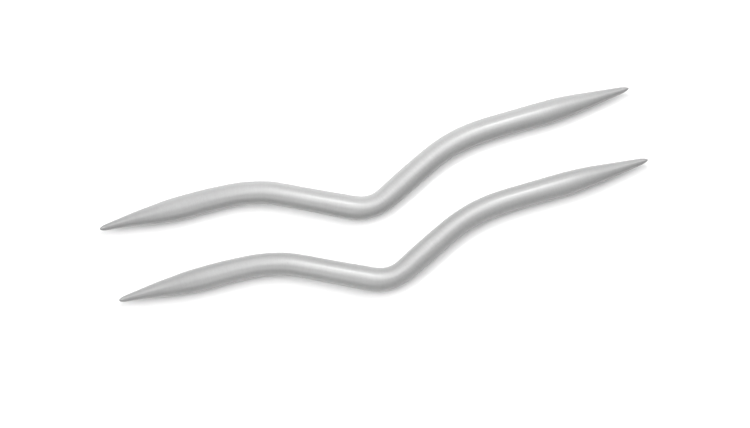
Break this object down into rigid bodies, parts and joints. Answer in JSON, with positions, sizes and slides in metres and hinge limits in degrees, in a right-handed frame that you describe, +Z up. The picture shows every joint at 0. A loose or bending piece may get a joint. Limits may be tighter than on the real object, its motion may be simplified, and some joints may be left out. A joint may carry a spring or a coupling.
{
  "type": "cable stitch needle",
  "caption": "Slim round rod needle, pointed at both ends and cranked in the middle into a shallow dip that holds stitches while a cable pattern is crossed.",
  "frame": {"origin": "on the table, under the middle of the footprint of the two needles together", "axes": "+X along the first arm of each needle, from the left points to the right ones; +Y away from the dips, across the needles; +Z up from the table"},
  "size_m": [0.1164, 0.0308, 0.005],
  "materials": {
    "pearl_grey_coat": "satin"
  },
  "bodies": {
    "rear_needle": {"rear_needle": "pearl_grey_coat"},
    "front_needle": {"front_needle": "pearl_grey_coat"}
  },
  "joints": [
    {"name": "front_needle_lift", "type": "slide", "parent": "rear_needle", "child": "front_needle", "axis": [0, 0, 1], "range_m": [0, 0.06]}
  ]
}
